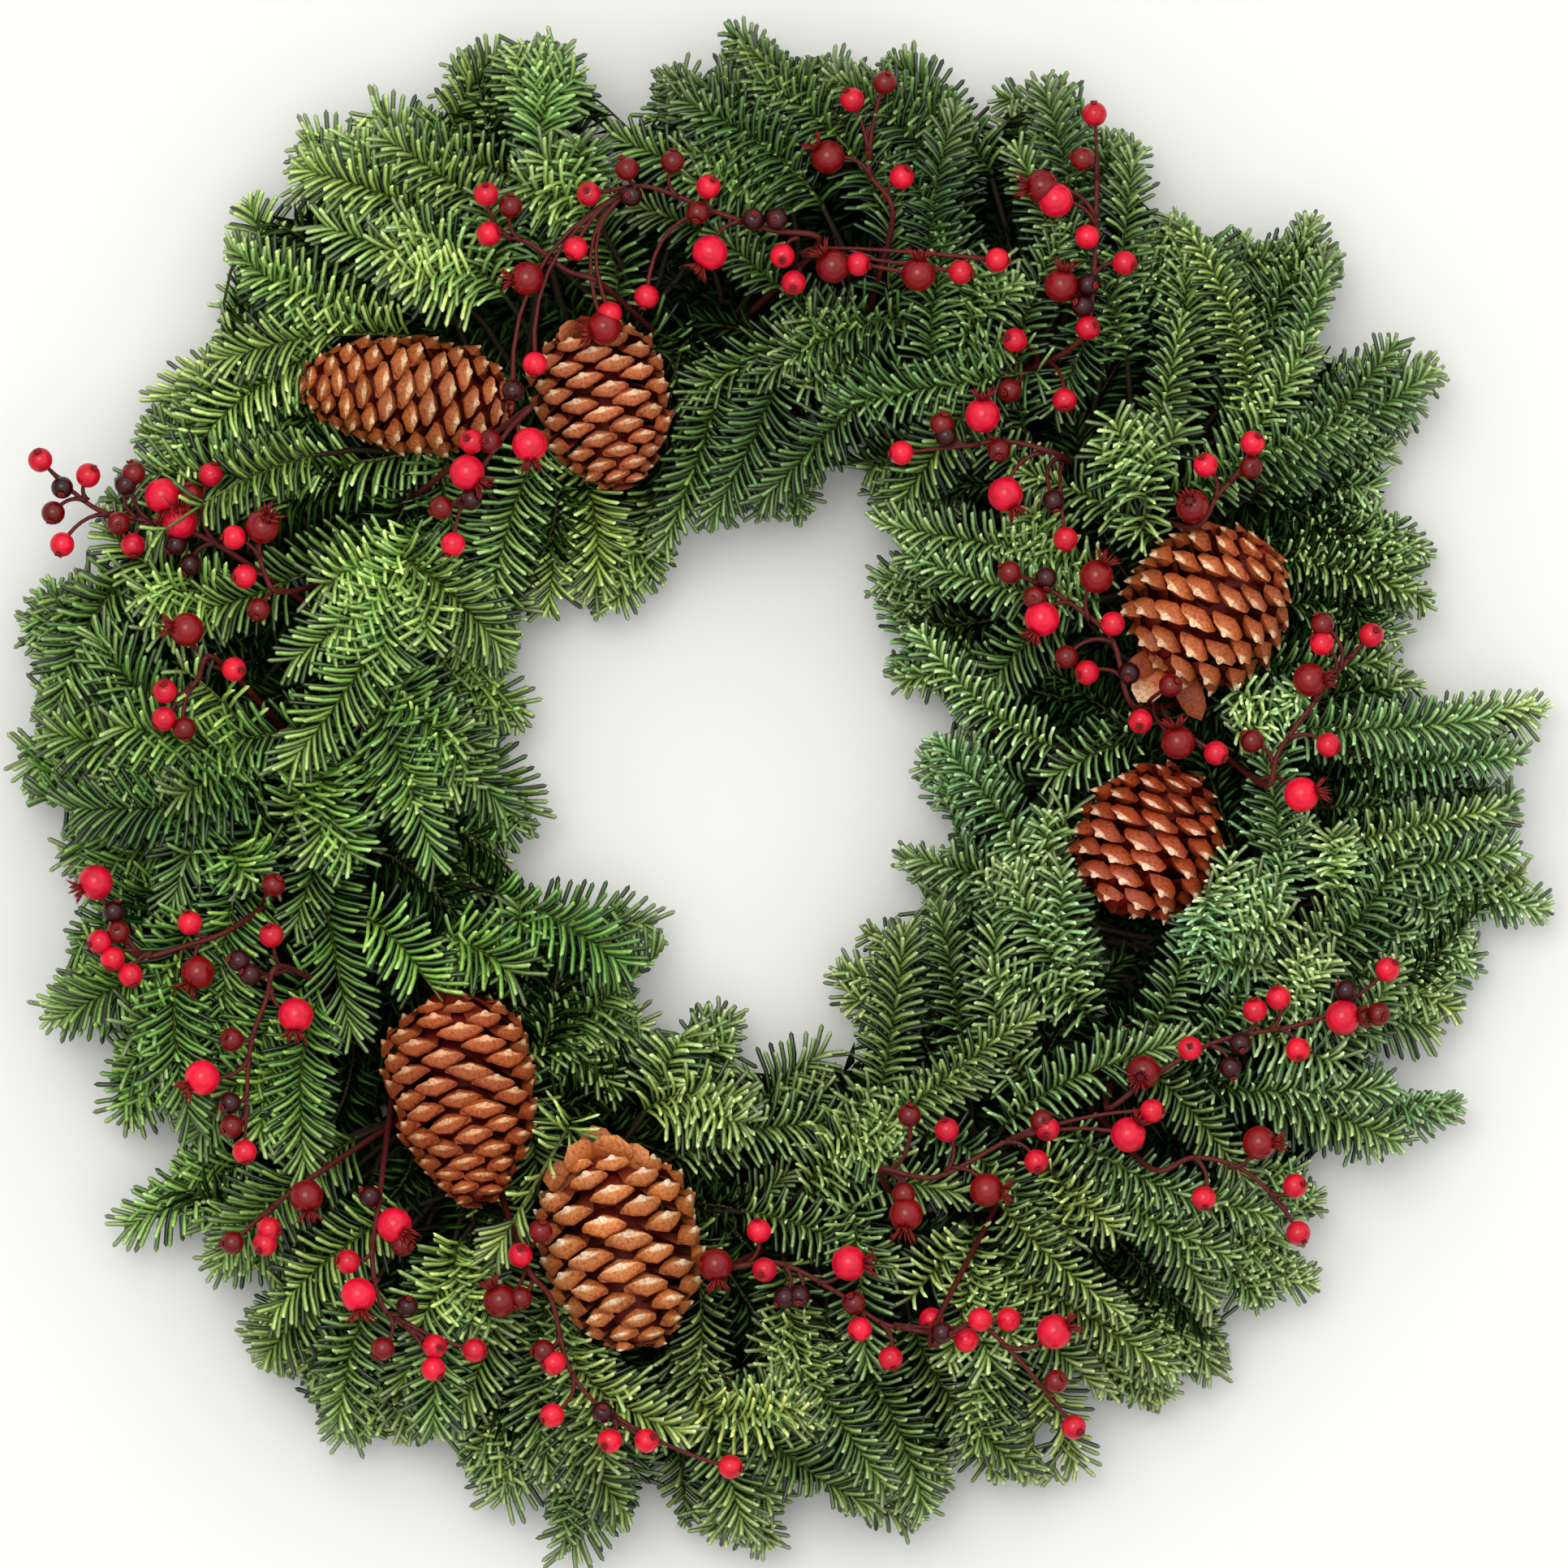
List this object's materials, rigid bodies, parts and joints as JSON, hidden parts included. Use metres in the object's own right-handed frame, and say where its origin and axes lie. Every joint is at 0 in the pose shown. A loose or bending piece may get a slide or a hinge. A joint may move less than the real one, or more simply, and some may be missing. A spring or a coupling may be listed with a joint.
{
  "type": "winter berry wreath",
  "caption": "Round fir wreath on a clamped wire frame, with open pine cones and branching sprays of glossy red berries.",
  "frame": {"origin": "under the middle of the wreath's outline, at the back plane that it lies on", "axes": "+Z out of the front of the wreath, +Y toward the edge that is uppermost when it hangs, +X to the viewer's right"},
  "size_m": [0.6914, 0.6956, 0.1078],
  "materials": {
    "fir_light": "fresh light green fir needles with a soft waxy sheen, on brown twigs",
    "fir_dark": "dark green fir needles with a soft waxy sheen",
    "fir_blue": "blue-green fir needles with a pale waxy bloom",
    "fir_mid": "mid green fir needles with a soft waxy sheen",
    "cone_brown": "dry woody scales, orange-brown with paler raised tips, darker between",
    "cone_dark": "dark red-brown woody scales with glossy paler tips",
    "berry_red": "glossy lacquered berries from bright red to nearly black on burgundy stems",
    "florist_wire": "thin green enamelled wire",
    "frame_wire": "green painted steel wire"
  },
  "bodies": {
    "root": {"berry_spray_a": "berry_red", "berry_spray_b": "berry_red", "berry_spray_c": "berry_red", "berry_spray_d": "berry_red", "berry_spray_e": "berry_red", "berry_spray_f": "berry_red", "berry_spray_g": "berry_red", "berry_spray_h": "berry_red", "berry_spray_i": "berry_red", "berry_spray_j": "berry_red", "berry_spray_k": "berry_red", "berry_spray_l": "berry_red", "berry_spray_m": "berry_red", "berry_spray_n": "berry_red", "berry_spray_o": "berry_red", "berry_spray_p": "berry_red", "berry_spray_q": "berry_red", "berry_spray_r": "berry_red", "berry_spray_s": "berry_red", "berry_spray_t": "berry_red", "berry_spray_u": "berry_red", "berry_spray_w": "berry_red", "cone_wire_1": "florist_wire", "cone_wire_2": "florist_wire", "cone_wire_3": "florist_wire", "cone_wire_4": "florist_wire", "cone_wire_5": "florist_wire", "cone_wire_6": "florist_wire", "fir_bunch_01": "fir_blue", "fir_bunch_02": "fir_blue", "fir_bunch_03": "fir_blue", "fir_bunch_04": "fir_dark", "fir_bunch_05": "fir_dark", "fir_bunch_06": "fir_dark", "fir_bunch_07": "fir_dark", "fir_bunch_08": "fir_dark", "fir_bunch_09": "fir_light", "fir_bunch_10": "fir_light", "fir_bunch_11": "fir_light", "fir_bunch_12": "fir_light", "fir_bunch_13": "fir_light", "fir_bunch_14": "fir_light", "fir_bunch_15": "fir_mid", "fir_bunch_16": "fir_mid", "fir_bunch_17": "fir_mid", "fir_bunch_18": "fir_mid", "fir_bunch_19": "fir_blue", "fir_bunch_20": "fir_blue", "fir_bunch_21": "fir_blue", "fir_bunch_22": "fir_blue", "pine_cone_1": "cone_brown", "pine_cone_2": "cone_brown", "pine_cone_3": "cone_brown", "pine_cone_4": "cone_dark", "pine_cone_5": "cone_brown", "pine_cone_6": "cone_brown", "wire_frame": "frame_wire"}
  },
  "joints": []
}
